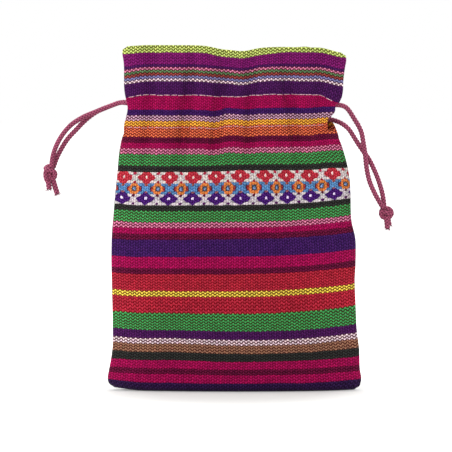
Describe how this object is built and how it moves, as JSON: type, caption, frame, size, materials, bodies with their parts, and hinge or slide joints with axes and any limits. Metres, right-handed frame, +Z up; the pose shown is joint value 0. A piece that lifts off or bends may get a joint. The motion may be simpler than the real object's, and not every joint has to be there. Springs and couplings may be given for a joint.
{
  "type": "drawstring pouch",
  "caption": "Small flat pouch of striped hand-woven cloth whose mouth is drawn shut by two knotted cords running in a sewn casing.",
  "frame": {"origin": "centre of the flat base, on the surface that the pouch stands on", "axes": "+Z up towards the mouth, +X to the right seen from the front, -Y towards the viewer"},
  "size_m": [0.1798, 0.0332, 0.177],
  "materials": {
    "striped_cloth": "warp-faced hand-woven cotton in bright stripes, matt",
    "seam_cloth": "turned-in raw edge of the same cloth, matt",
    "pale_thread": "pale cotton sewing thread",
    "seam_thread": "dark cotton sewing thread",
    "drawcord": "braided synthetic cord, slight sheen"
  },
  "bodies": {
    "pouch": {"front_panel": "striped_cloth", "back_panel": "striped_cloth", "left_side_seam": "seam_cloth", "right_side_seam": "seam_cloth", "bottom_seam": "seam_cloth", "left_seam_stitching": "seam_thread", "right_seam_stitching": "seam_thread", "bottom_seam_stitching": "seam_thread", "left_cord_turn": "drawcord", "right_cord_turn": "drawcord", "left_cord_front_lead": "drawcord", "left_cord_back_lead": "drawcord", "right_cord_front_lead": "drawcord", "right_cord_back_lead": "drawcord"},
    "front_mouth": {"front_heading": "striped_cloth", "front_casing_outer": "striped_cloth", "front_casing_inner": "striped_cloth", "front_upper_stitching": "pale_thread", "front_lower_stitching": "pale_thread", "left_cord_front_run": "drawcord", "right_cord_front_run": "drawcord"},
    "back_mouth": {"back_heading": "striped_cloth", "back_casing_outer": "striped_cloth", "back_casing_inner": "striped_cloth", "back_upper_stitching": "pale_thread", "back_lower_stitching": "pale_thread", "left_cord_back_run": "drawcord", "right_cord_back_run": "drawcord"},
    "left_cord": {"left_cord_front_strand": "drawcord", "left_cord_back_strand": "drawcord"},
    "left_tail": {"left_cord_knot": "drawcord", "left_cord_front_end": "drawcord", "left_cord_back_end": "drawcord"},
    "right_cord": {"right_cord_front_strand": "drawcord", "right_cord_back_strand": "drawcord"},
    "right_tail": {"right_cord_knot": "drawcord", "right_cord_front_end": "drawcord", "right_cord_back_end": "drawcord"}
  },
  "joints": [
    {"name": "front_mouth_hinge", "type": "hinge", "parent": "pouch", "child": "front_mouth", "pos_m": [0, -0.011, 0.131], "axis": [1, 0, 0], "range_deg": [-4, 30], "deforming": ["left_cord_turn", "right_cord_turn", "left_cord_front_lead", "left_cord_back_lead", "right_cord_front_lead", "right_cord_back_lead"]},
    {"name": "back_mouth_hinge", "type": "hinge", "parent": "pouch", "child": "back_mouth", "pos_m": [0, 0.011, 0.131], "axis": [-1, 0, 0], "range_deg": [-4, 30], "deforming": ["left_cord_turn", "right_cord_turn", "left_cord_front_lead", "left_cord_back_lead", "right_cord_front_lead", "right_cord_back_lead"]},
    {"name": "left_cord_pull", "type": "slide", "parent": "pouch", "child": "left_cord", "axis": [-0.9336, 0, -0.3584], "range_m": [-0.0061, 0.0009], "deforming": ["left_cord_front_lead", "left_cord_back_lead"]},
    {"name": "right_cord_pull", "type": "slide", "parent": "pouch", "child": "right_cord", "axis": [0.5299, 0, -0.848], "range_m": [-0.0061, 0.0009], "deforming": ["right_cord_front_lead", "right_cord_back_lead"]},
    {"name": "left_tail_swing", "type": "hinge", "parent": "left_cord", "child": "left_tail", "pos_m": [-0.0657, 0, 0.1452], "axis": [0, 0, 1], "range_deg": [-60, 60], "deforming": ["left_cord_front_strand", "left_cord_back_strand"]},
    {"name": "right_tail_swing", "type": "hinge", "parent": "right_cord", "child": "right_tail", "pos_m": [0.0627, 0, 0.1377], "axis": [0, 0, 1], "range_deg": [-60, 60], "deforming": ["right_cord_front_strand", "right_cord_back_strand"]}
  ],
  "couplings": [
    {"joint": "back_mouth_hinge", "follows": "front_mouth_hinge", "ratio": 1},
    {"joint": "left_cord_pull", "follows": "front_mouth_hinge", "m_per_rad": -0.01146},
    {"joint": "right_cord_pull", "follows": "front_mouth_hinge", "m_per_rad": -0.01146}
  ]
}
